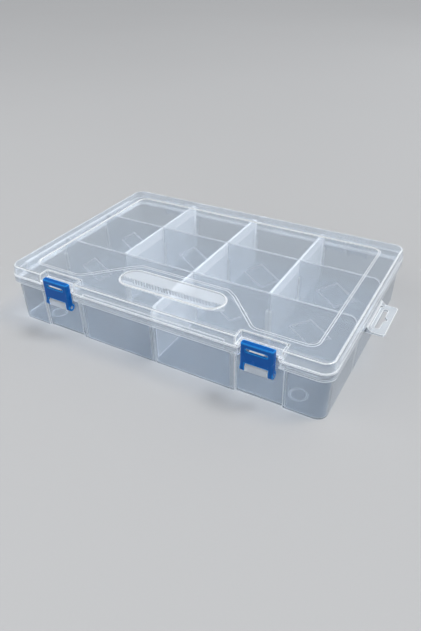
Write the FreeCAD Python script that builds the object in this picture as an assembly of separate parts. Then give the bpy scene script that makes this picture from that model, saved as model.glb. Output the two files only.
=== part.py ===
import FreeCAD, Part
import math
import os

Vector = FreeCAD.Vector

# Overall size of the closed case over its rim; X is the width, Y the depth, Z up.
case_length = 340.0
case_depth = 227.0
case_height = 62.0

# Tray: outer wall leans out from the floor up to the rim band.
tray_wall = 1.8
floor_thickness = 1.8
tray_inset_at_floor = 3.85
tray_inset_at_rim = 2.8
tray_corner_radius = 10.0
tray_floor_edge_radius = 1.6
rim_band_height = 8.1
rim_wall = 1.7
rim_corner_radius = 12.0
rim_edge_bevel = 0.6
soft_edge_steps = 2

# Lid: a drafted skirt with a flat top that has a sunk window.
lid_wall = 1.7
lid_panel = 1.6
lid_gap = 0.3
lid_skirt_height = 9.6
lid_inset_at_top = 1.9
lid_edge_radius = 2.0
lid_seam_bevel = 0.5
window_depth = 0.8
window_frame_side = 22.0
window_frame_back = 21.0
window_frame_front = 19.5
window_corner_radius = 8.0
window_notch_length = 187.0
window_notch_floor_length = 115.0
window_notch_depth = 37.0
window_notch_radius = 10.0
window_crest_length = 96.0
window_crest_depth = 6.5

# Locating lip inside the rim, on the front and the two sides.
lip_thickness = 1.4
lip_clearance = 0.3
lip_side_front_margin = 22.0
lip_side_back_margin = 26.0
lip_front_length = 150.0
lip_root_height = 2.0

# Finger grip on the lid, in front of the window: a flat pad behind, a ramp down to a ribbed wall before it.
grip_length = 112.0
grip_width = 29.4
grip_from_front = 39.0
grip_sink = 0.4
grip_border = 1.4
grip_border_height = 0.6
grip_wall_forward = 1.2
grip_ramp_depth = 4.8
grip_rib_count = 27
grip_rib_pitch = 3.2
grip_rib_width = 1.7
grip_rib_reach = 1.2
grip_notch_gap = 1.0

# Latches, one on each side of the middle.
latch_spacing_share = 0.6265
latch_width = 29.6
latch_top_drop = 1.8
latch_plate = 1.8
latch_proud = 2.4
latch_side_depth = 5.2
latch_side_wall = 1.6
latch_leg_width = 4.0
latch_leg_height = 6.3
latch_corner_radius = 1.5
latch_top_bevel = 0.6
latch_slot_width = 20.0
latch_slot_corner = 0.8
latch_axis_drop = 9.3
latch_eye_radius = 3.7
latch_pin_radius = 1.6
latch_pin_end_gap = 0.3
running_clearance = 0.06

# Moulded bracket that carries each latch.
bracket_side_gap = 0.5
bracket_front_reach = 3.5
bracket_rise = 4.9
bracket_drop = 3.6
bracket_round = 2.4

# Recesses around each latch.
bay_width = 45.0
bay_depth = 2.3
rim_gap_width = 35.0
rim_gap_end_radius = 2.6
pocket_width = 41.0
pocket_back_from_front = 11.8
pocket_depth = 7.0
pocket_floor = 1.6
pocket_wall = 1.6
pocket_front_from_front = 3.3
pocket_sill = 1.7
tooth_width = 13.0
tooth_thickness = 2.2
tooth_rise = 0.3
tooth_slot_clearance = 0.6
tooth_behind_face = 0.5

# Hinges on the back, on the same spacing as the latches.
hinge_axis_drop = 4.2
hinge_pin_radius = 1.6
hinge_knuckle_radius = 3.4
hinge_lug_drop = 5.6
hinge_lug_back = 4.2
hinge_lug_round = 3.4
hinge_lug_width = 3.0
hinge_outer_lug_offset = 22.4
hinge_inner_lug_offset = 3.9
hinge_side_gap = 0.4
hinge_arm = 2.0
hinge_arm_gap = 0.4
hinge_arm_root_height = 5.2
hinge_arm_shoulder_height = 3.0
hinge_snap_slit = 2.4

# Hanger tab on the right side, with a hook slot.
tab_reach = 16.5
tab_width = 49.0
tab_thickness = 2.2
tab_drop = 3.1
tab_corner_radius = 3.0
tab_root_reach = 4.6
tab_root_rise = 1.4
tab_pocket_width = 38.0
tab_pocket_wall = 1.6
hook_slot_length = 34.0
hook_slot_width = 4.4
hook_slot_from_rim = 7.2
hook_notch_depth = 3.0
hook_notch_width = 9.0
hook_notch_tip_width = 2.4

# Partitions and dividers that stand in the tray, in equal rows and columns.
row_count = 3
column_count = 4
well_margin = 6.0
divider_thickness = 1.6
divider_lid_gap = 0.4
divider_floor_gap = 0.3
divider_end_gap = 0.4
divider_corner_radius = 7.0
divider_floor_radius = 2.4
divider_rim_height = 11.0
divider_rim_relief = 0.3
rail_rim_gap = 4.0
rail_width = 1.4
rail_depth = 2.2
rail_clearance = 0.2

# Raised diamond outlines on the partitions' front faces, one in each column.
diamond_half_width = 20.5
diamond_half_height = 14.4
diamond_inner_share = 0.92
diamond_relief = 0.4

# Low rings moulded on the floor.
floor_ring_radius = 8.4
floor_ring_wall = 1.4
floor_ring_height = 0.4
floor_ring_side_margin = 34.5
floor_ring_front = 88.0
floor_ring_back = 75.0

# One overrun serves every cut that runs out of its piece.
overrun = 5.0

half_length = case_length / 2
half_depth = case_depth / 2
lid_bottom_height = case_height - lid_skirt_height
lid_underside = case_height - lid_panel
rim_top_height = lid_bottom_height - lid_gap
rim_bottom_height = rim_top_height - rim_band_height
ledge_top_height = rim_bottom_height + tray_wall
tray_front_at_rim = -half_depth + tray_inset_at_rim
tray_front_at_floor = -half_depth + tray_inset_at_floor
bay_face_at_rim = tray_front_at_rim + bay_depth
bay_face_at_floor = tray_front_at_floor + bay_depth
pocket_floor_height = case_height - pocket_depth
tooth_top_height = pocket_floor_height + tooth_rise
tooth_bottom_height = tooth_top_height - tooth_thickness
latch_face = -half_depth - latch_proud
latch_top_height = case_height - latch_top_drop
latch_axis_y = latch_face + latch_eye_radius
latch_axis_height = rim_bottom_height - latch_axis_drop
hinge_axis_y = half_depth + hinge_arm_gap + hinge_knuckle_radius
hinge_axis_height = rim_bottom_height - hinge_axis_drop
tab_top_height = rim_bottom_height - tab_drop
tab_root_height = rim_bottom_height + tab_root_rise
grip_centre = -half_depth + grip_from_front
grip_floor_height = case_height - grip_sink
grip_wall_y = grip_centre - grip_wall_forward
grip_ramp_front = grip_centre - grip_width / 2 + grip_border
grip_ramp_bottom = grip_floor_height - grip_ramp_depth
divider_top_height = lid_underside - window_depth - divider_lid_gap
rail_height = rim_bottom_height - rail_rim_gap
latch_spacing = case_length * latch_spacing_share
side_centres = (-latch_spacing / 2, latch_spacing / 2)
rail_slot = divider_thickness + 2 * rail_clearance
row_spacing = (case_depth - 2 * well_margin) / row_count
column_spacing = (case_length - 2 * well_margin) / column_count
row_centres = [(index - row_count / 2) * row_spacing for index in range(1, row_count)]
column_centres = [(index - column_count / 2) * column_spacing for index in range(1, column_count)]
floor_ring_x = half_length - floor_ring_side_margin


def box(x_low, x_high, y_low, y_high, z_low, z_high):
    """A block between two corners."""
    size = (x_high - x_low, y_high - y_low, z_high - z_low)
    return Part.makeBox(*size, Vector(x_low, y_low, z_low))


def rounded_outline(points, radii, place):
    """A closed wire through the points, each corner rounded by its radius."""
    edges = []
    starts = []
    ends = []
    for index, point in enumerate(points):
        before = points[index - 1]
        after = points[(index + 1) % len(points)]
        corner = Vector(*place(*point))
        back = (Vector(*place(*before)) - corner).normalize()
        ahead = (Vector(*place(*after)) - corner).normalize()
        half_angle = back.getAngle(ahead) / 2
        if radii[index] == 0:
            starts.append(corner)
            ends.append(corner)
            continue
        run = radii[index] / math.tan(half_angle)
        middle_axis = (back + ahead).normalize()
        centre = corner + middle_axis * (radii[index] / math.sin(half_angle))
        middle = centre - middle_axis * radii[index]
        starts.append(corner + back * run)
        ends.append(corner + ahead * run)
        edges.append(Part.Arc(starts[-1], middle, ends[-1]).toShape())
    for index, end in enumerate(ends):
        start = starts[(index + 1) % len(points)]
        if end.distanceToPoint(start) > Part.Vertex(end).Tolerance:
            edges.append(Part.makeLine(end, start))
    return Part.Wire(Part.__sortEdges__(edges))


def at_height(height):
    return lambda x, y: (x, y, height)


def at_x(x):
    return lambda y, z: (x, y, z)


def at_y(y):
    return lambda x, z: (x, y, z)


def prism(points, radii, place, vector):
    """A straight body with the given outline."""
    wire = rounded_outline(points, radii, place)
    return Part.Face(wire).extrude(vector)


def rounded_rectangle(x_half, y_half, radius, height):
    points = [(x_half, y_half), (-x_half, y_half), (-x_half, -y_half), (x_half, -y_half)]
    return rounded_outline(points, [radius] * len(points), at_height(height))


def upright_block(x_half, y_half, radius, z_low, z_high):
    wire = rounded_rectangle(x_half, y_half, radius, z_low)
    return Part.Face(wire).extrude(Vector(0, 0, z_high - z_low))


def profile_along_x(points, x_low, x_high, radii=None):
    """A body with a Y-Z profile, run along X."""
    rounds = radii or [0] * len(points)
    return prism(points, rounds, at_x(x_low), Vector(x_high - x_low, 0, 0))


def profile_along_y(points, y_low, y_high, radii=None):
    """A body with an X-Z profile, run along Y."""
    rounds = radii or [0] * len(points)
    return prism(points, rounds, at_y(y_low), Vector(0, y_high - y_low, 0))


def rod_along_x(radius, x_low, x_high, y, z):
    return Part.makeCylinder(radius, x_high - x_low, Vector(x_low, y, z), Vector(1, 0, 0))


def fused(shapes):
    return shapes[0].multiFuse(shapes[1:]).removeSplitter()


def edges_where(shape, test):
    return [edge for edge in shape.Edges if test(edge.BoundBox)]


def is_level(bounds, height):
    tolerance = running_clearance
    return abs(bounds.ZMin - height) < tolerance and abs(bounds.ZMax - height) < tolerance


def stadium(length, width, z_low, z_high, y):
    """A slot-shaped plate with round ends, long along X."""
    radius = width / 2
    end = length / 2 - radius
    height = z_high - z_low
    middle = box(-end, end, y - radius, y + radius, z_low, z_high)
    ends = [Part.makeCylinder(radius, height, Vector(x, y, z_low)) for x in (-end, end)]
    return fused([middle] + ends)


def drafted_block(inset_low, inset_high, radius_low, z_low, z_high):
    """A tapered block inset from the case's outline, with flat sides and conical corners."""
    centre_x = half_length - inset_low - radius_low
    centre_y = half_depth - inset_low - radius_low
    radius_high = radius_low + inset_low - inset_high
    across = [
        (-half_length + inset_low, z_low), (half_length - inset_low, z_low),
        (half_length - inset_high, z_high), (-half_length + inset_high, z_high),
    ]
    along = [
        (-half_depth + inset_low, z_low), (half_depth - inset_low, z_low),
        (half_depth - inset_high, z_high), (-half_depth + inset_high, z_high),
    ]
    pieces = [profile_along_y(across, -centre_y, centre_y), profile_along_x(along, -centre_x, centre_x)]
    for x in (-centre_x, centre_x):
        for y in (-centre_y, centre_y):
            pieces.append(Part.makeCone(radius_low, radius_high, z_high - z_low, Vector(x, y, z_low)))
    return fused(pieces)


def soft_edge_profile(inset, radius):
    """Points down a quarter-round edge, as inset from the side and drop from the top."""
    angles = [step * math.pi / 2 / soft_edge_steps for step in range(soft_edge_steps + 1)]
    return [(inset + radius * (1 - math.cos(a)), radius * (1 - math.sin(a))) for a in angles]


def rim_gap(centre):
    """What a latch's gap takes off the rim band: a slot that flares round at its mouth."""
    half = rim_gap_width / 2
    mouth = half + rim_gap_end_radius
    round_back = -half_depth + rim_gap_end_radius
    height = rim_top_height - rim_bottom_height
    flare = box(centre - mouth, centre + mouth, latch_face - overrun, round_back,
                rim_bottom_height, rim_top_height)
    for x in (centre - mouth, centre + mouth):
        flare = flare.cut(Part.makeCylinder(rim_gap_end_radius, height, Vector(x, round_back, rim_bottom_height)))
    slot = box(centre - half, centre + half, latch_face - overrun, bay_face_at_rim,
               rim_bottom_height, rim_top_height)
    return fused([slot, flare])


def rim_band():
    """The straight band under the lid, with a round-ended gap in it for each latch."""
    band = upright_block(half_length, half_depth, rim_corner_radius, rim_bottom_height, rim_top_height)
    edges = edges_where(band, lambda b: is_level(b, rim_top_height) or is_level(b, rim_bottom_height))
    band = band.makeChamfer(rim_edge_bevel, edges)
    for centre in side_centres:
        band = band.cut(rim_gap(centre))
    return band


def tray_outside():
    """Drafted tub with a soft edge round the floor, and the rim band on top."""
    slope = (tray_inset_at_floor - tray_inset_at_rim) / rim_bottom_height
    inset = tray_inset_at_floor - slope * tray_floor_edge_radius
    pieces = [drafted_block(inset, tray_inset_at_rim, tray_corner_radius,
                            tray_floor_edge_radius, rim_bottom_height)]
    edge = soft_edge_profile(inset, tray_floor_edge_radius)
    for (inset_high, z_high), (inset_low, z_low) in zip(edge, edge[1:]):
        radius_low = tray_corner_radius - (inset_low - inset)
        pieces.append(drafted_block(inset_low, inset_high, radius_low, z_low, z_high))
    return fused(pieces + [rim_band()])


def bay_face_points(thickness_behind, lowest, highest):
    """The latch bay's drafted face as a Y-Z profile that reaches out past the rim."""
    slope = (bay_face_at_rim - bay_face_at_floor) / rim_bottom_height
    outside = latch_face - overrun
    points = [
        (outside, lowest),
        (bay_face_at_floor + slope * lowest + thickness_behind, lowest),
        (bay_face_at_rim + thickness_behind, rim_bottom_height),
    ]
    if highest > rim_bottom_height:
        points.append((bay_face_at_rim + thickness_behind, highest))
        points.append((outside, highest))
    else:
        points.append((outside, rim_bottom_height))
    return points


def tray_inside():
    """The hollow of the tray: the drafted well, then the wider space inside the rim band."""
    well = drafted_block(tray_inset_at_floor + tray_wall, tray_inset_at_rim + tray_wall,
                         tray_corner_radius - tray_wall, floor_thickness, ledge_top_height)
    rim_space = upright_block(half_length - rim_wall, half_depth - rim_wall,
                              rim_corner_radius - rim_wall, ledge_top_height, rim_top_height + overrun)
    for centre in side_centres:
        bay_half = bay_width / 2 + tray_wall
        gap_half = rim_gap_width / 2 + rim_wall
        step = profile_along_x(bay_face_points(tray_wall, 0, ledge_top_height),
                               centre - bay_half, centre + bay_half)
        well = well.cut(step)
        rim_step = box(centre - gap_half, centre + gap_half, -half_depth, bay_face_at_rim + tray_wall,
                       ledge_top_height, rim_top_height + 2 * overrun)
        rim_space = rim_space.cut(rim_step)
    return [well, rim_space]


def latch_bays():
    """What is taken off the front of the tub for the latches."""
    return [
        profile_along_x(bay_face_points(0, -overrun, rim_bottom_height),
                        centre - bay_width / 2, centre + bay_width / 2)
        for centre in side_centres
    ]


def latch_brackets():
    """The moulded brackets in the bays, with the stub pins that the latches turn on."""
    pieces = []
    half_bracket = latch_width / 2 - latch_leg_width - bracket_side_gap
    half_pins = latch_width / 2 - latch_pin_end_gap
    front = latch_axis_y - bracket_front_reach
    behind = bay_face_at_rim + tray_wall / 2
    bottom = latch_axis_height - bracket_drop
    top = latch_axis_height + bracket_rise
    profile = [(front, bottom), (behind, bottom), (behind, top), (front, top)]
    for centre in side_centres:
        pieces.append(profile_along_x(profile, centre - half_bracket, centre + half_bracket,
                                      [bracket_round, 0, 0, bracket_round]))
        pieces.append(rod_along_x(latch_pin_radius, centre - half_pins, centre + half_pins,
                                  latch_axis_y, latch_axis_height))
    return pieces


def hinge_lug_profile():
    """A lug from the rim band down and round the hinge axis, as Y-Z points and corner radii."""
    inside = half_depth - rim_wall / 2
    back = hinge_axis_y + hinge_lug_back
    bottom = hinge_axis_height - hinge_lug_drop
    shoulder = rim_top_height - rim_edge_bevel
    points = [
        (inside, rim_bottom_height + rim_edge_bevel),
        (hinge_axis_y - hinge_lug_back, bottom),
        (back, bottom),
        (back, hinge_axis_height + hinge_lug_back),
        (half_depth, shoulder),
        (inside, shoulder),
    ]
    return points, [0, hinge_lug_round, hinge_lug_round, 0, 0, 0]


def hinge_lugs():
    """Four lugs and two pins at each hinge."""
    pieces = []
    points, radii = hinge_lug_profile()
    for centre in side_centres:
        for side in (-1, 1):
            inner = centre + side * hinge_inner_lug_offset
            outer = centre + side * hinge_outer_lug_offset
            for middle in (inner, outer):
                pieces.append(profile_along_x(points, middle - hinge_lug_width / 2,
                                              middle + hinge_lug_width / 2, radii))
            pieces.append(rod_along_x(hinge_pin_radius, min(inner, outer), max(inner, outer),
                                      hinge_axis_y, hinge_axis_height))
    return pieces


def hook_slot_cutter():
    """The hook slot: a long slot with a blunt notch on its outer side."""
    slot_x = half_length + hook_slot_from_rim
    inner = slot_x - hook_slot_width / 2
    outer = slot_x + hook_slot_width / 2
    end = hook_slot_length / 2
    points = [
        (inner, -end), (outer, -end), (outer, -hook_notch_width / 2),
        (outer + hook_notch_depth, -hook_notch_tip_width / 2),
        (outer + hook_notch_depth, hook_notch_tip_width / 2),
        (outer, hook_notch_width / 2), (outer, end), (inner, end),
    ]
    end_round = hook_slot_width / 2 - running_clearance
    notch_round = hook_notch_tip_width / 3
    radii = [end_round, end_round, 0, notch_round, notch_round, 0, end_round, end_round]
    low = tab_top_height - tab_thickness - overrun
    return prism(points, radii, at_height(low), Vector(0, 0, tab_thickness + 2 * overrun))


def hanger_tab():
    """The level tab: a plate that curves up to the rim at its root, with a sunk middle."""
    root = half_length - tray_inset_at_rim - tray_wall / 2
    band_middle = half_length - rim_wall / 2
    tip = half_length + tab_reach
    bottom = tab_top_height - tab_thickness
    root_end = half_length + tab_root_reach
    profile = [
        (root, bottom), (tip, bottom), (tip, tab_top_height), (root_end, tab_top_height),
        (half_length, tab_root_height), (band_middle, tab_root_height),
        (band_middle, rim_bottom_height + rim_edge_bevel), (root, rim_bottom_height + rim_edge_bevel),
    ]
    bend = tab_root_reach / 2
    plate = profile_along_y(profile, -tab_width / 2, tab_width / 2,
                            [0, 0, 0, bend, 0, 0, 0, 0])
    outline_half = tab_width / 2
    corners = [(tip, outline_half), (root, outline_half), (root, -outline_half), (tip, -outline_half)]
    outline = prism(corners, [tab_corner_radius, 0, 0, tab_corner_radius], at_height(0),
                    Vector(0, 0, rim_top_height))
    pocket_start = half_length + tab_pocket_wall
    pocket_end = half_length + hook_slot_from_rim
    pocket_half = tab_pocket_width / 2
    pocket_points = [(pocket_end, pocket_half), (pocket_start, pocket_half),
                     (pocket_start, -pocket_half), (pocket_end, -pocket_half)]
    pocket_round = tab_pocket_wall
    pocket = prism(pocket_points, [0, pocket_round, pocket_round, 0], at_height(tab_top_height),
                   Vector(0, 0, rim_top_height - tab_top_height))
    return plate.common(outline).cut(pocket).cut(hook_slot_cutter())


def wall_rail_pair(along_x, place, wall_sign):
    """Two ribs on a wall with the slot for a partition's edge between them."""
    inner_at_floor = tray_inset_at_floor + tray_wall + rail_depth
    buried = tray_inset_at_rim + tray_wall / 2
    reach = half_length if along_x else half_depth
    near = wall_sign * (reach - inner_at_floor)
    far = wall_sign * (reach - buried)
    ribs = []
    for side in (-1, 1):
        slot_face = place + side * rail_slot / 2
        outer_face = slot_face + side * rail_width
        low, high = sorted((slot_face, outer_face))
        start, end = sorted((near, far))
        if along_x:
            ribs.append(box(start, end, low, high, floor_thickness / 2, rail_height))
        else:
            ribs.append(box(low, high, start, end, floor_thickness / 2, rail_height))
    return ribs


def tray_rails():
    """Rib pairs on all four walls, trimmed to the tub."""
    ribs = []
    for row in row_centres:
        for sign in (-1, 1):
            ribs += wall_rail_pair(True, row, sign)
    for column in column_centres:
        for sign in (-1, 1):
            ribs += wall_rail_pair(False, column, sign)
    return ribs


def floor_rings():
    """Low rings near the corners of the floor."""
    rings = []
    for x in (-floor_ring_x, floor_ring_x):
        for y in (-floor_ring_front, floor_ring_back):
            place = Vector(x, y, floor_thickness / 2)
            height = floor_thickness / 2 + floor_ring_height
            disc = Part.makeCylinder(floor_ring_radius, height, place)
            rings.append(disc.cut(Part.makeCylinder(floor_ring_radius - floor_ring_wall, height, place)))
    return rings


def base_tray():
    """The lower shell with everything that is moulded on it."""
    tray = tray_outside()
    for hollow in tray_inside():
        tray = tray.cut(hollow)
    for cut in latch_bays():
        tray = tray.cut(cut)
    return fused([tray] + latch_brackets() + hinge_lugs() + [hanger_tab()] + tray_rails() + floor_rings())


def lid_outside():
    """The lid's drafted skirt and flat top, with a soft edge between them."""
    skirt_top = case_height - lid_edge_radius
    inset = lid_inset_at_top * (skirt_top - lid_bottom_height) / lid_skirt_height
    skirt = drafted_block(0, inset, rim_corner_radius, lid_bottom_height, skirt_top)
    seam = edges_where(skirt, lambda b: is_level(b, lid_bottom_height))
    pieces = [skirt.makeChamfer(lid_seam_bevel, seam)]
    edge = soft_edge_profile(inset, lid_edge_radius)
    for (inset_low, drop_low), (inset_high, drop_high) in zip(edge, edge[1:]):
        pieces.append(drafted_block(inset_low, inset_high, rim_corner_radius - inset_low,
                                    case_height - drop_low, case_height - drop_high))
    return fused(pieces)


def lid_inside():
    slope = lid_inset_at_top / lid_skirt_height
    inset = lid_wall + slope * (lid_underside - lid_bottom_height)
    return drafted_block(lid_wall, inset, rim_corner_radius - lid_wall, lid_bottom_height, lid_underside)


def window_outline(grow, z_low, z_high):
    """The window with its stepped front edge; grow widens it all round."""
    side = half_length - window_frame_side + grow
    back = half_depth - window_frame_back + grow
    front = -half_depth + window_frame_front - grow
    notch = front + window_notch_depth
    crest = notch + window_crest_depth
    notch_half = window_notch_length / 2 - grow
    floor_half = window_notch_floor_length / 2 - grow
    crest_half = window_crest_length / 2 - grow
    points = [
        (side, back), (-side, back), (-side, front), (-notch_half, front), (-floor_half, notch),
        (-crest_half, crest), (crest_half, crest), (floor_half, notch), (notch_half, front), (side, front),
    ]
    corner = window_corner_radius + grow
    turn = window_notch_radius
    soft = window_crest_depth
    radii = [corner, corner, corner, turn, soft, soft, soft, soft, turn, corner]
    return prism(points, radii, at_height(z_low), Vector(0, 0, z_high - z_low))


def latch_pockets(lid, outer):
    """Steps the lid's front back at each latch and leaves the tooth that the latch holds."""
    front = -half_depth
    back = front + pocket_back_from_front
    sill = front + pocket_front_from_front
    for centre in side_centres:
        half = pocket_width / 2
        floor_block = box(centre - half - pocket_wall, centre + half + pocket_wall, front,
                          back + pocket_wall, pocket_floor_height - pocket_floor, lid_underside)
        sill_block = box(centre - half, centre + half, front, sill + pocket_sill,
                         lid_bottom_height, pocket_floor_height)
        lid = fused([lid, floor_block.common(outer), sill_block.common(outer)])
        well = box(centre - half, centre + half, front - overrun, back, pocket_floor_height,
                   case_height + overrun)
        gap_half = rim_gap_width / 2
        face = box(centre - gap_half, centre + gap_half, front - overrun, sill,
                   lid_bottom_height - overrun, case_height + overrun)
        lid = lid.cut(well).cut(face)
    return lid


def lid_tooth(centre):
    """The tooth that sticks out through the latch's slot, bevelled along its front."""
    top = tooth_top_height
    bottom = tooth_bottom_height
    tip = latch_face + tooth_behind_face
    root = -half_depth + pocket_front_from_front + pocket_sill / 2
    bevel = tooth_thickness / 3
    profile = [(root, bottom), (tip + bevel, bottom), (tip, bottom + bevel), (tip, top), (root, top)]
    return profile_along_x(profile, centre - tooth_width / 2, centre + tooth_width / 2)


def locating_lip():
    """Stretches of lip that reach down inside the rim band."""
    outer = rim_wall + lip_clearance
    inner = outer + lip_thickness
    bottom = ledge_top_height + lip_clearance
    top = lid_bottom_height + lip_root_height
    pieces = []
    root_outer = lid_wall / 2
    for sign in (-1, 1):
        profile = [
            (sign * (half_length - outer), bottom), (sign * (half_length - inner), bottom),
            (sign * (half_length - inner), top), (sign * (half_length - root_outer), top),
            (sign * (half_length - root_outer), lid_bottom_height),
            (sign * (half_length - outer), lid_bottom_height),
        ]
        pieces.append(profile_along_y(profile, -half_depth + lip_side_front_margin,
                                      half_depth - lip_side_back_margin))
    profile = [
        (-half_depth + outer, bottom), (-half_depth + inner, bottom),
        (-half_depth + inner, top), (-half_depth + root_outer, top),
        (-half_depth + root_outer, lid_bottom_height), (-half_depth + outer, lid_bottom_height),
    ]
    pieces.append(profile_along_x(profile, -lip_front_length / 2, lip_front_length / 2))
    return pieces


def hinge_arms():
    """Lid arms that hang over the rim band and snap round the hinge pins."""
    pieces = []
    inside = half_depth - lid_wall
    arm_face = half_depth + hinge_arm_gap
    arm_back = arm_face + hinge_arm
    profile = [
        (arm_face, hinge_axis_height), (arm_back, hinge_axis_height),
        (arm_back, lid_bottom_height + hinge_arm_shoulder_height),
        (inside, lid_bottom_height + hinge_arm_root_height),
        (inside, lid_bottom_height), (arm_face, lid_bottom_height),
    ]
    start_offset = hinge_inner_lug_offset + hinge_lug_width / 2 + hinge_side_gap
    end_offset = hinge_outer_lug_offset - hinge_lug_width / 2 - hinge_side_gap
    for centre in side_centres:
        for side in (-1, 1):
            low, high = sorted((centre + side * start_offset, centre + side * end_offset))
            arm = profile_along_x(profile, low, high)
            knuckle = rod_along_x(hinge_knuckle_radius, low, high, hinge_axis_y, hinge_axis_height)
            bore = rod_along_x(hinge_pin_radius + running_clearance, low, high,
                               hinge_axis_y, hinge_axis_height)
            slit = box(low, high, hinge_axis_y - hinge_snap_slit / 2, hinge_axis_y + hinge_snap_slit / 2,
                       hinge_axis_height - hinge_knuckle_radius - overrun, hinge_axis_height)
            pieces.append(arm.fuse(knuckle).cut(bore).cut(slit))
    return pieces


def grip_ramp(grow, high):
    """A wedge over the grip's ramp and its foot; grow carries it further back and down."""
    foot = grip_wall_y - grip_rib_reach
    low = grip_ramp_bottom - grow
    slope = grip_ramp_depth / (foot - grip_ramp_front)
    front = foot - (high - low) / slope
    points = [(grip_wall_y + grow, high), (grip_wall_y + grow, low), (foot, low), (front, high)]
    return profile_along_x(points, -grip_length / 2, grip_length / 2)


def grip_ribs():
    """Upright ribs on the wall at the foot of the ramp, as high as the pad."""
    ribs = []
    start = -grip_rib_pitch * (grip_rib_count - 1) / 2
    for index in range(grip_rib_count):
        x = start + index * grip_rib_pitch
        ribs.append(box(x - grip_rib_width / 2, x + grip_rib_width / 2, grip_wall_y - grip_rib_reach,
                        grip_wall_y + lid_panel / 2, grip_ramp_bottom - lid_panel / 2, grip_floor_height))
    return ribs


def add_finger_grip(lid):
    """Sets the grip's pad in the lid inside a raised border, with a ramp before its ribbed wall."""
    inner_length = grip_length - 2 * grip_border
    inner_width = grip_width - 2 * grip_border
    backing = stadium(grip_length, grip_width, lid_underside - grip_sink, case_height, grip_centre)
    border = stadium(grip_length, grip_width, lid_underside, case_height + grip_border_height, grip_centre)
    pad = stadium(inner_length, inner_width, grip_floor_height, case_height + overrun, grip_centre)
    whole_depth = stadium(grip_length, grip_width, grip_ramp_bottom - lid_panel, lid_underside, grip_centre)
    ramp_backing = grip_ramp(lid_panel, lid_underside).common(whole_depth)
    inner_depth = stadium(inner_length, inner_width, grip_ramp_bottom, grip_floor_height, grip_centre)
    ramp = grip_ramp(0, grip_floor_height).common(inner_depth)
    lid = fused([lid, backing, border, ramp_backing]).cut(pad).cut(ramp)
    return fused([lid] + grip_ribs())


def lid():
    """The upper shell: window, latch pockets, teeth, locating lip, grip and hinge arms."""
    outer = lid_outside()
    shell = outer.cut(lid_inside())
    window_floor = case_height - window_depth
    backing = window_outline(lid_panel, lid_underside - window_depth, lid_underside)
    shell = fused([shell, backing]).cut(window_outline(0, window_floor, case_height + overrun))
    shell = latch_pockets(shell, outer)
    shell = add_finger_grip(shell)
    teeth = [lid_tooth(centre) for centre in side_centres]
    return fused([shell] + teeth + locating_lip() + hinge_arms())


def latch_slot(centre):
    """The slot for the lid's tooth, with clipped corners."""
    low = tooth_bottom_height - tooth_slot_clearance
    high = tooth_top_height + tooth_slot_clearance
    half = latch_slot_width / 2
    clip = latch_slot_corner
    points = [
        (centre - half, low + clip), (centre - half + clip, low),
        (centre + half - clip, low), (centre + half, low + clip),
        (centre + half, high - clip), (centre + half - clip, high),
        (centre - half + clip, high), (centre - half, high - clip),
    ]
    return profile_along_y(points, latch_face - overrun, latch_face + 2 * latch_plate)


def latch(centre):
    """One snap latch: a flanged cover on two legs with eyes, and the slot for the lid's tooth."""
    half = latch_width / 2
    inner_face = latch_face + latch_plate
    back = latch_face + latch_side_depth
    block = box(centre - half, centre + half, latch_face, back, latch_axis_height, latch_top_height)
    upright_front = edges_where(block, lambda b: b.ZLength > latch_plate and b.YMax < inner_face)
    block = block.makeFillet(latch_corner_radius, upright_front)
    top_front = edges_where(block, lambda b: is_level(b, latch_top_height) and b.YMin < inner_face)
    block = block.makeChamfer(latch_top_bevel, top_front)
    inside_half = half - latch_side_wall
    hollow = box(centre - inside_half, centre + inside_half, inner_face, back + overrun,
                 latch_axis_height - overrun, latch_top_height - latch_plate)
    gap_half = half - latch_leg_width
    leg_gap = box(centre - gap_half, centre + gap_half, latch_face - overrun, back + overrun,
                  latch_axis_height - overrun, latch_axis_height + latch_leg_height)
    body = block.cut(hollow).cut(leg_gap).cut(latch_slot(centre))
    for side in (-1, 1):
        low, high = sorted((centre + side * gap_half, centre + side * half))
        eye = rod_along_x(latch_eye_radius, low, high, latch_axis_y, latch_axis_height)
        body = body.fuse(eye)
    bore = rod_along_x(latch_pin_radius + running_clearance, centre - half, centre + half,
                       latch_axis_y, latch_axis_height)
    return body.cut(bore).removeSplitter()


def diamond(x, half_width, half_height, y_front, y_back):
    """A diamond-shaped plate at mid-height of the partitions."""
    z = divider_top_height / 2
    points = [(x - half_width, z), (x, z - half_height), (x + half_width, z), (x, z + half_height)]
    return profile_along_y(points, y_front, y_back)


def diamond_outlines(y):
    """The raised outlines on a partition's front face, in the middle of each column."""
    front = y - divider_thickness / 2 - diamond_relief
    outlines = []
    for index in range(column_count):
        x = (index + 1 / 2 - column_count / 2) * column_spacing
        outer = diamond(x, diamond_half_width, diamond_half_height, front, y)
        inner = diamond(x, diamond_half_width * diamond_inner_share,
                        diamond_half_height * diamond_inner_share, front, y)
        outlines.append(outer.cut(inner))
    return outlines


def row_partition(y):
    """A long partition with rounded top corners, raised diamonds, and ribs that hold the dividers."""
    end = half_length - tray_inset_at_floor - tray_wall - divider_end_gap
    bottom = floor_thickness + divider_floor_gap
    points = [(-end, bottom), (end, bottom), (end, divider_top_height), (-end, divider_top_height)]
    radii = [divider_floor_radius, divider_floor_radius, divider_corner_radius, divider_corner_radius]
    sheet = profile_along_y(points, y - divider_thickness / 2, y + divider_thickness / 2, radii)
    reach = divider_thickness / 2 + rail_depth
    ribs = []
    for column in column_centres:
        for side in (-1, 1):
            low, high = sorted((column + side * rail_slot / 2, column + side * (rail_slot / 2 + rail_width)))
            ribs.append(box(low, high, y - reach, y + reach, bottom, rail_height))
    return fused([sheet] + ribs + diamond_outlines(y))


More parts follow.
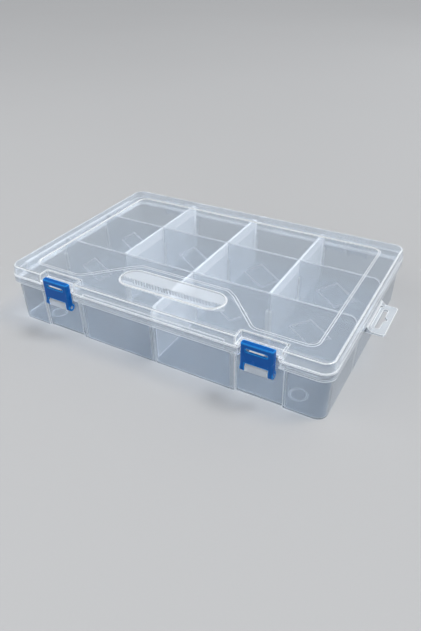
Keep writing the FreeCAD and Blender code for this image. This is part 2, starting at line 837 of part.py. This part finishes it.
def cell_divider(x, y_low, y_high, wall_at_low, wall_at_high):
    """A short divider with a thicker rim along its top; an end against a wall has its corners rounded."""
    low_top, low_foot = (divider_corner_radius, divider_floor_radius) if wall_at_low else (0, 0)
    high_top, high_foot = (divider_corner_radius, divider_floor_radius) if wall_at_high else (0, 0)
    bottom = floor_thickness + divider_floor_gap
    rim_bottom = divider_top_height - divider_rim_height
    half = divider_thickness / 2
    rim_half = half + divider_rim_relief
    sheet = [(y_low, bottom), (y_high, bottom), (y_high, divider_top_height), (y_low, divider_top_height)]
    rim = [(y_low, rim_bottom), (y_high, rim_bottom), (y_high, divider_top_height), (y_low, divider_top_height)]
    return fused([
        profile_along_x(sheet, x - half, x + half, [low_foot, high_foot, high_top, low_top]),
        profile_along_x(rim, x - rim_half, x + rim_half, [0, 0, high_top, low_top]),
    ])


def cell_dividers():
    """Three dividers in the back row, three in the middle row and one, notched under the grip, in front."""
    wall = half_depth - tray_inset_at_floor - tray_wall - divider_end_gap
    beside_row = divider_thickness / 2 + divider_end_gap
    front_row, back_row = row_centres
    names = ("left", "centre", "right")
    pieces = {}
    for name, column in zip(names, column_centres):
        pieces["back_divider_" + name] = cell_divider(column, back_row + beside_row, wall, False, True)
        pieces["middle_divider_" + name] = cell_divider(column, front_row + beside_row,
                                                        back_row - beside_row, False, False)
    under_grip = grip_ramp(lid_panel + grip_notch_gap, divider_top_height + overrun)
    front_divider = cell_divider(0.0, -wall, front_row - beside_row, True, False)
    pieces["front_divider_centre"] = front_divider.cut(under_grip)
    return pieces


def assembly():
    front_row, back_row = row_centres
    left, right = side_centres
    pieces = {
        "base_tray": base_tray(),
        "lid": lid(),
        "latch_left": latch(left),
        "latch_right": latch(right),
        "row_partition_front": row_partition(front_row),
        "row_partition_back": row_partition(back_row),
    }
    pieces.update(cell_dividers())
    return pieces


os.makedirs("parts", exist_ok=True)
for node, shape in assembly().items():
    shape.exportStep(os.path.join("parts", node + ".step"))
    bounds = shape.BoundBox
    print(node, len(shape.Solids), shape.isValid(), round(shape.Volume), len(shape.Faces),
          [round(v, 2) for v in (bounds.XMin, bounds.XMax, bounds.YMin, bounds.YMax, bounds.ZMin, bounds.ZMax)])
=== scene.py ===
import math

import bpy
from mathutils import Matrix, Vector


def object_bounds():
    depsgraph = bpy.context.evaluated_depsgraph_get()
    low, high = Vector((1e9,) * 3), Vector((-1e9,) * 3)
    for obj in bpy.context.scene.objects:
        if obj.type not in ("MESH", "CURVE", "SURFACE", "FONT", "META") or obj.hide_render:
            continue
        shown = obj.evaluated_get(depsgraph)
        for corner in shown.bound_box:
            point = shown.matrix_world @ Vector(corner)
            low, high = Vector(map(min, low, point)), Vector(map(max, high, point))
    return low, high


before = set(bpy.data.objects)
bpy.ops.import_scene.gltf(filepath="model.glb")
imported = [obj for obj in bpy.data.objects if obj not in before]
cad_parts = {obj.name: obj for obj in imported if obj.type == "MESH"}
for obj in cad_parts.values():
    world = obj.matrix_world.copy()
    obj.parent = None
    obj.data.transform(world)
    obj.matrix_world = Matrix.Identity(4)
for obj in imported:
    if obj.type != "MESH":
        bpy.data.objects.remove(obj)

cad_low, cad_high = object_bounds()

# Camera, worked out from the straight edges of the case in the photograph. Lengths are in metres.
PHOTO_HEIGHT_PIXELS = 631
FOCAL_LENGTH_PIXELS = 558.76
SENSOR_HEIGHT_MM = 36.0
CAMERA_AZIMUTH = math.radians(29.93)
CAMERA_ELEVATION = math.radians(34.17)
CAMERA_ROLL = math.radians(-0.97)
CAMERA_PLACE = Vector((0.250494, -0.438209, 0.330302))
CAMERA_NEAR = 0.01
CAMERA_FAR = 50.0

# Light.
WORLD_COLOUR = (0.88, 0.91, 0.95)
WORLD_STRENGTH = 0.38
SUN_STRENGTH = 2.0
SUN_ANGLE = math.radians(20)
SUN_TILT = (math.radians(-14), math.radians(26), 0)

# Name, place, width, depth, power in watts and colour of each softbox.
SOFTBOXES = (
    ("softbox_front_left", (-0.77, -1.27, 1.05), 2.4, 1.8, 15.5, (1.0, 0.995, 0.98)),
    ("softbox_back_right", (1.10, 1.30, 1.40), 2.4, 1.8, 11.5, (0.97, 0.985, 1.0)),
)

# Floor.
FLOOR_SIZE = 40.0
FLOOR_GAP = 0.0002
FLOOR_COLOUR = (0.455, 0.457, 0.462)
FLOOR_TONES = (0.97, 1.03)
FLOOR_TONE_SCALE = 1.2
FLOOR_GRAIN_SCALE = 700.0
FLOOR_ROUGHNESS = (0.60, 0.75)

# Both plastics: the radius that softens each edge, and the one over which an edge gets a painted
# highlight, whiter as if it caught the light.
PLASTIC_INDEX = 1.49
EDGE_ROUND = 0.0005
EDGE_HIGHLIGHT_RADIUS = 0.0014
EDGE_HIGHLIGHT_FULL_TURN = 0.94
EDGE_SAMPLES = 6

# Clear plastic: flow marks in its colour and gloss, and a slow ripple in its surface.
FLOW_SCALE = 28.0
FLOW_BEND = 0.6
RIPPLE_SCALE = 70.0
RIPPLE_STRENGTH = 0.02
RIPPLE_HEIGHT = 0.0008
# The white of the milky places and of the painted edge highlights, and how much light passes there.
MILK_AND_HIGHLIGHT_COLOUR = (0.97, 0.98, 0.99)
MILK_AND_HIGHLIGHT_CLEARNESS = 0.06

# The lid's grip.
GRIP_CENTRE_Y = -0.0745
GRIP_STRAIGHT_HALF = 0.0413
GRIP_INNER_RADIUS = 0.01335
GRIP_RIB_PITCH = 0.0032
GRIP_RIBS_Y = -0.0763
GRIP_RIB_REACH = 0.0009
GRIP_PAD_HEIGHT = 0.06155
GRIP_FROST = 0.25
# Where the wave along the ribs, from -1 to 1, passes from gap to rib. The gaps stay clear, a painted shade
# between the frosted ribs.
GRIP_GAP_SHADE_END = -0.45
GRIP_RIB_START = -0.05

# Thick places look milkier, and the top band of each divider is whiter. The rim's lower edge, the feet of
# partitions and dividers and the dividers' cut ends get painted highlights, whiter as if they caught the
# light.
# Each has its amount, then the planes that bound it: the axis, the place on it and the side that counts.
TRAY_HINGE_LUGS = (0.55, (("Y", 0.1129, 1), ("Z", 0.0440, -1)))
TRAY_BRACKETS = (0.35, (("Y", -0.1137, -1),))
TRAY_HANGER_TAB = (0.35, (("X", 0.1702, 1),))
TRAY_RIM_BAND = (0.18, (("Z", 0.0438, 1),))
# Painted highlight along the rim's lower edge.
TRAY_RIM_EDGE_HIGHLIGHT = (0.7, (("Z", 0.0438, 1), ("Z", 0.0450, -1)))
LID_HINGE_ARMS = (0.55, (("Y", 0.1138, 1),))
LID_TEETH = (0.8, (("Y", -0.1137, -1),))
LID_SKIRT = (0.18, (("Z", 0.0585, -1),))
DIVIDER_RIM = (0.3, (("Z", 0.0482, 1),))
# Painted highlight along the feet of partitions and dividers.
DIVIDER_FOOT_HIGHLIGHT = (0.7, (("Z", 0.0040, -1),))
# Painted highlights along the dividers' cut ends.
DIVIDER_END_HIGHLIGHTS = (
    (0.7, (("Y", -0.1025, -1),)),
    (0.7, (("Y", -0.0375, 1), ("Y", -0.0335, -1))),
    (0.7, (("Y", 0.0335, 1), ("Y", 0.0375, -1))),
    (0.7, (("Y", 0.1025, 1),)),
)

# The clear pieces. Clearness is the share of light that passes away from the painted edge highlights and
# the milky places.
TRAY_PLASTIC = {
    "name": "tray_clear_plastic",
    "tints": ((0.615, 0.655, 0.705), (0.53, 0.59, 0.65)),
    "clearness": 0.86,
    "roughness": (0.06, 0.12),
    "shadow": (0.86, 0.88, 0.90),
    "milky_and_highlit_places": (TRAY_HINGE_LUGS, TRAY_BRACKETS, TRAY_HANGER_TAB, TRAY_RIM_BAND, TRAY_RIM_EDGE_HIGHLIGHT),
}
LID_PLASTIC = {
    "name": "lid_clear_plastic",
    "tints": ((0.82, 0.86, 0.90), (0.77, 0.81, 0.85)),
    "clearness": 0.89,
    "roughness": (0.05, 0.10),
    "shadow": (0.92, 0.93, 0.95),
    "milky_and_highlit_places": (LID_HINGE_ARMS, LID_TEETH, LID_SKIRT),
    "has_grip": True,
}
PARTITION_PLASTIC = {
    "name": "partition_clear_plastic",
    "tints": ((0.73, 0.77, 0.81), (0.66, 0.71, 0.76)),
    "clearness": 0.82,
    "roughness": (0.06, 0.12),
    "shadow": (0.88, 0.90, 0.92),
    "milky_and_highlit_places": (DIVIDER_FOOT_HIGHLIGHT,),
}
DIVIDER_PLASTIC = {
    "name": "divider_clear_plastic",
    "tints": ((0.88, 0.90, 0.93), (0.83, 0.86, 0.90)),
    "clearness": 0.54,
    "roughness": (0.08, 0.14),
    "shadow": (0.88, 0.90, 0.92),
    "milky_and_highlit_places": (DIVIDER_RIM, DIVIDER_FOOT_HIGHLIGHT, *DIVIDER_END_HIGHLIGHTS),
}

# Latches.
LATCH_TINTS = ((0.0, 0.070, 0.32), (0.0, 0.105, 0.42))
# Lighter blue for the latches' edges, a painted highlight.
LATCH_EDGE_HIGHLIGHT_COLOUR = (0.01, 0.33, 0.85)
LATCH_FLOW_SCALE = 90.0
LATCH_FLOW_BEND = 0.4
LATCH_GRAIN_SCALE = 1400.0
LATCH_GRAIN_STRENGTH = 0.10
LATCH_GRAIN_HEIGHT = 0.0002
LATCH_ROUGHNESS = (0.18, 0.30)
LATCH_SPECULAR = 0.22


def make_camera():
    forward = Vector((
        -math.sin(CAMERA_AZIMUTH) * math.cos(CAMERA_ELEVATION),
        math.cos(CAMERA_AZIMUTH) * math.cos(CAMERA_ELEVATION),
        -math.sin(CAMERA_ELEVATION),
    ))
    level_right = Vector((math.cos(CAMERA_AZIMUTH), math.sin(CAMERA_AZIMUTH), 0))
    level_up = level_right.cross(forward)
    right = level_right * math.cos(CAMERA_ROLL) + level_up * math.sin(CAMERA_ROLL)
    up = level_up * math.cos(CAMERA_ROLL) - level_right * math.sin(CAMERA_ROLL)
    turn = Matrix((right, up, -forward)).transposed().to_4x4()
    data = bpy.data.cameras.new("camera")
    data.sensor_width = SENSOR_HEIGHT_MM
    data.lens = FOCAL_LENGTH_PIXELS * SENSOR_HEIGHT_MM / PHOTO_HEIGHT_PIXELS
    data.clip_start = CAMERA_NEAR
    data.clip_end = CAMERA_FAR
    camera = bpy.data.objects.new("camera", data)
    camera.matrix_world = Matrix.Translation(CAMERA_PLACE) @ turn
    bpy.context.scene.collection.objects.link(camera)
    bpy.context.scene.camera = camera


def make_softbox(name, place, width, depth, power, colour):
    """A soft lamp that faces the middle of the floor."""
    data = bpy.data.lights.new(name, "AREA")
    data.shape = "RECTANGLE"
    data.size = width
    data.size_y = depth
    data.energy = power
    data.color = colour
    lamp = bpy.data.objects.new(name, data)
    lamp.location = place
    lamp.rotation_mode = "QUATERNION"
    lamp.rotation_quaternion = (-Vector(place)).to_track_quat("-Z", "Y")
    bpy.context.scene.collection.objects.link(lamp)


def make_sun():
    data = bpy.data.lights.new("soft_sun", "SUN")
    data.energy = SUN_STRENGTH
    data.angle = SUN_ANGLE
    lamp = bpy.data.objects.new("soft_sun", data)
    lamp.rotation_euler = SUN_TILT
    bpy.context.scene.collection.objects.link(lamp)


def make_world():
    world = bpy.data.worlds.new("studio")
    world.use_nodes = True
    background = world.node_tree.nodes["Background"]
    background.inputs["Color"].default_value = (*WORLD_COLOUR, 1)
    background.inputs["Strength"].default_value = WORLD_STRENGTH
    bpy.context.scene.world = world


class Nodes:
    """A material's node tree, with short ways to add and join nodes."""

    def __init__(self, name):
        self.material = bpy.data.materials.new(name)
        self.material.use_nodes = True
        self.tree = self.material.node_tree
        self.tree.nodes.clear()
        self.place = self.add("ShaderNodeTexCoord").outputs["Object"]

    def add(self, kind, **settings):
        node = self.tree.nodes.new(kind)
        for key, value in settings.items():
            setattr(node, key, value)
        return node

    def join(self, source, target):
        self.tree.links.new(source, target)

    def coordinates(self):
        """X, Y and Z in the shared frame."""
        split = self.add("ShaderNodeSeparateXYZ")
        self.join(self.place, split.inputs["Vector"])
        return split.outputs

    def noise(self, scale, detail=2.0, distortion=0.0):
        node = self.add("ShaderNodeTexNoise")
        node.inputs["Scale"].default_value = scale
        node.inputs["Detail"].default_value = detail
        node.inputs["Distortion"].default_value = distortion
        self.join(self.place, node.inputs["Vector"])
        return node.outputs["Fac"]

    def spread(self, source, low, high, start=0.3, end=0.7):
        """Maps the source's range start to end onto low to high."""
        node = self.add("ShaderNodeMapRange")
        node.inputs["From Min"].default_value = start
        node.inputs["From Max"].default_value = end
        node.inputs["To Min"].default_value = low
        node.inputs["To Max"].default_value = high
        self.join(source, node.inputs["Value"])
        return node.outputs["Result"]

    def blend(self, factor, first, second):
        """The first colour, or the second where the factor is 1."""
        node = self.add("ShaderNodeMix", data_type="RGBA")
        self.join(factor, node.inputs["Factor"])
        for colour, socket in ((first, node.inputs["A"]), (second, node.inputs["B"])):
            if isinstance(colour, tuple):
                socket.default_value = (*colour, 1)
            else:
                self.join(colour, socket)
        return node.outputs["Result"]

    def bump(self, height, strength, distance, base):
        """The surface direction base, with the height's relief on it."""
        node = self.add("ShaderNodeBump")
        self.join(base, node.inputs["Normal"])
        node.inputs["Strength"].default_value = strength
        node.inputs["Distance"].default_value = distance
        self.join(height, node.inputs["Height"])
        return node.outputs["Normal"]

    def rounded(self, radius):
        """The surface direction with every edge softened by the radius."""
        bevel = self.add("ShaderNodeBevel", samples=EDGE_SAMPLES)
        bevel.inputs["Radius"].default_value = radius
        return bevel.outputs["Normal"]

    def edges(self):
        """Painted highlight along edges: 0 on flat walls and 1 along edges, from how far the softened
        direction turns.
        """
        geometry = self.add("ShaderNodeNewGeometry")
        turn = self.add("ShaderNodeVectorMath", operation="DOT_PRODUCT")
        self.join(self.rounded(EDGE_HIGHLIGHT_RADIUS), turn.inputs[0])
        self.join(geometry.outputs["Normal"], turn.inputs[1])
        return self.spread(turn.outputs["Value"], 0.0, 1.0, start=1.0, end=EDGE_HIGHLIGHT_FULL_TURN)

    def math(self, operation, first, second=None):
        node = self.add("ShaderNodeMath", operation=operation)
        for value, socket in zip((first, second), node.inputs):
            if isinstance(value, float):
                socket.default_value = value
            elif value is not None:
                self.join(value, socket)
        return node.outputs["Value"]

    def mix_values(self, factor, first, second):
        """The first value, or the second where the factor is 1."""
        node = self.add("ShaderNodeMix", data_type="FLOAT")
        self.join(factor, node.inputs["Factor"])
        for value, socket in ((first, node.inputs["A"]), (second, node.inputs["B"])):
            if isinstance(value, float):
                socket.default_value = value
            else:
                self.join(value, socket)
        return node.outputs["Result"]

    def open_to_lamps(self, surface, tint):
        """The surface, which lets the lamps' light through with a tint, so that its shadow is pale."""
        shadow = self.add("ShaderNodeBsdfTransparent")
        shadow.inputs["Color"].default_value = (*tint, 1)
        path = self.add("ShaderNodeLightPath")
        mix = self.add("ShaderNodeMixShader")
        sources = (path.outputs["Is Shadow Ray"], surface, shadow.outputs["BSDF"])
        for source, socket in zip(sources, mix.inputs):
            self.join(source, socket)
        return mix.outputs["Shader"]

    def finish(self, surface):
        output = self.add("ShaderNodeOutputMaterial")
        self.join(surface, output.inputs["Surface"])
        return self.material


def milk_and_highlight_mask(nodes, place, milky_and_highlit_places):
    """How milky the thick places are and how strong the painted edge highlights are, and 0 elsewhere."""
    milk_and_highlight = 0.0
    for amount, planes in milky_and_highlit_places:
        for axis, bound, side in planes:
            beyond = nodes.math("GREATER_THAN" if side > 0 else "LESS_THAN", place[axis], bound)
            amount = nodes.math("MULTIPLY", beyond, amount)
        milk_and_highlight = nodes.math("MAXIMUM", amount, milk_and_highlight)
    return milk_and_highlight


def grip_areas(nodes, place):
    """The frosted inside of the grip, and within it the painted shade of the gaps between the ribs, as
    values from 0 to 1.
    """
    x, y, z = place
    past_end = nodes.math("SUBTRACT", nodes.math("ABSOLUTE", x), GRIP_STRAIGHT_HALF)
    past_end = nodes.math("MAXIMUM", past_end, 0.0)
    beside = nodes.math("SUBTRACT", y, GRIP_CENTRE_Y)
    squares = nodes.math(
        "ADD", nodes.math("MULTIPLY", past_end, past_end), nodes.math("MULTIPLY", beside, beside)
    )
    inside = nodes.math("LESS_THAN", nodes.math("SQRT", squares), GRIP_INNER_RADIUS)
    wave = nodes.math("COSINE", nodes.math("MULTIPLY", x, 2 * math.pi / GRIP_RIB_PITCH))
    rib_gap_shade = nodes.spread(wave, 1.0, 0.0, start=GRIP_GAP_SHADE_END, end=GRIP_RIB_START)
    from_wall = nodes.math("ABSOLUTE", nodes.math("SUBTRACT", y, GRIP_RIBS_Y))
    near_wall = nodes.math("LESS_THAN", from_wall, GRIP_RIB_REACH)
    below_pad = nodes.math("LESS_THAN", z, GRIP_PAD_HEIGHT)
    return inside, nodes.math("MULTIPLY", nodes.math("MULTIPLY", rib_gap_shade, near_wall), below_pad)


def clear_plastic(name, tints, clearness, roughness, shadow, milky_and_highlit_places, has_grip=False):
    """Moulded clear polypropylene: faintly milky, with painted highlights whitening its edges, and flow
    marks in its gloss.
    """
    nodes = Nodes(name)
    place = nodes.coordinates()
    flow = nodes.noise(FLOW_SCALE, detail=3.0, distortion=FLOW_BEND)
    ripple = nodes.noise(RIPPLE_SCALE, detail=1.0)
    # Painted highlights along the edges, together with the milky places.
    milk_and_painted_highlight = nodes.math("MAXIMUM", nodes.edges(), milk_and_highlight_mask(nodes, place, milky_and_highlit_places))
    if has_grip:
        inside, rib_gap_shade = grip_areas(nodes, place)
        # On the frosted grip the gaps between the ribs stay clear: painted shade between the ribs.
        rib_frost_and_gap_shade = nodes.math("MULTIPLY", nodes.math("SUBTRACT", 1.0, rib_gap_shade), GRIP_FROST)
        milk_and_painted_highlight = nodes.mix_values(inside, milk_and_painted_highlight, rib_frost_and_gap_shade)
    shader = nodes.add("ShaderNodeBsdfPrincipled")
    body = nodes.blend(flow, *tints)
    nodes.join(nodes.blend(milk_and_painted_highlight, body, MILK_AND_HIGHLIGHT_COLOUR), shader.inputs["Base Color"])
    nodes.join(nodes.spread(flow, *roughness), shader.inputs["Roughness"])
    relief = nodes.bump(ripple, RIPPLE_STRENGTH, RIPPLE_HEIGHT, nodes.rounded(EDGE_ROUND))
    nodes.join(relief, shader.inputs["Normal"])
    shader.inputs["IOR"].default_value = PLASTIC_INDEX
    nodes.join(nodes.mix_values(milk_and_painted_highlight, clearness, MILK_AND_HIGHLIGHT_CLEARNESS), shader.inputs["Transmission Weight"])
    return nodes.finish(nodes.open_to_lamps(shader.outputs["BSDF"], shadow))


def blue_plastic():
    """Glossy blue latch plastic, with a painted highlight brightening its edges."""
    nodes = Nodes("latch_blue_plastic")
    flow = nodes.noise(LATCH_FLOW_SCALE, detail=3.0, distortion=LATCH_FLOW_BEND)
    grain = nodes.noise(LATCH_GRAIN_SCALE)
    shader = nodes.add("ShaderNodeBsdfPrincipled")
    body = nodes.blend(flow, *LATCH_TINTS)
    # Painted highlight: lighter blue along the edges.
    nodes.join(nodes.blend(nodes.edges(), body, LATCH_EDGE_HIGHLIGHT_COLOUR), shader.inputs["Base Color"])
    nodes.join(nodes.spread(flow, *LATCH_ROUGHNESS), shader.inputs["Roughness"])
    relief = nodes.bump(grain, LATCH_GRAIN_STRENGTH, LATCH_GRAIN_HEIGHT, nodes.rounded(EDGE_ROUND))
    nodes.join(relief, shader.inputs["Normal"])
    shader.inputs["IOR"].default_value = PLASTIC_INDEX
    shader.inputs["Specular IOR Level"].default_value = LATCH_SPECULAR
    return nodes.finish(shader.outputs["BSDF"])


def floor_paper():
    """Plain pale paper, with slight changes of tone."""
    nodes = Nodes("floor_paper")
    tone = nodes.noise(FLOOR_TONE_SCALE)
    grain = nodes.noise(FLOOR_GRAIN_SCALE, detail=3.0)
    darker, lighter = (tuple(c * share for c in FLOOR_COLOUR) for share in FLOOR_TONES)
    shader = nodes.add("ShaderNodeBsdfPrincipled")
    nodes.join(nodes.blend(tone, darker, lighter), shader.inputs["Base Color"])
    nodes.join(nodes.spread(grain, *FLOOR_ROUGHNESS), shader.inputs["Roughness"])
    return nodes.finish(shader.outputs["BSDF"])


def make_floor():
    mesh = bpy.data.meshes.new("floor")
    half = FLOOR_SIZE / 2
    corners = [(-half, -half, 0), (half, -half, 0), (half, half, 0), (-half, half, 0)]
    mesh.from_pydata(corners, [], [(0, 1, 2, 3)])
    mesh.materials.append(floor_paper())
    floor = bpy.data.objects.new("floor", mesh)
    floor.location.z = cad_low.z - FLOOR_GAP
    bpy.context.scene.collection.objects.link(floor)


def dress(names, material):
    """Gives every slot of the named pieces the material."""
    for name in names:
        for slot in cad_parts[name].material_slots:
            slot.material = material


partitions = [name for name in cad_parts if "partition" in name]
dividers = [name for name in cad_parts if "divider" in name]

dress(("base_tray",), clear_plastic(**TRAY_PLASTIC))
dress(("lid",), clear_plastic(**LID_PLASTIC))
dress(partitions, clear_plastic(**PARTITION_PLASTIC))
dress(dividers, clear_plastic(**DIVIDER_PLASTIC))
dress(("latch_left", "latch_right"), blue_plastic())

bpy.context.scene.view_settings.view_transform = "Standard"
make_world()
make_sun()
make_floor()
for softbox in SOFTBOXES:
    make_softbox(*softbox)
make_camera()
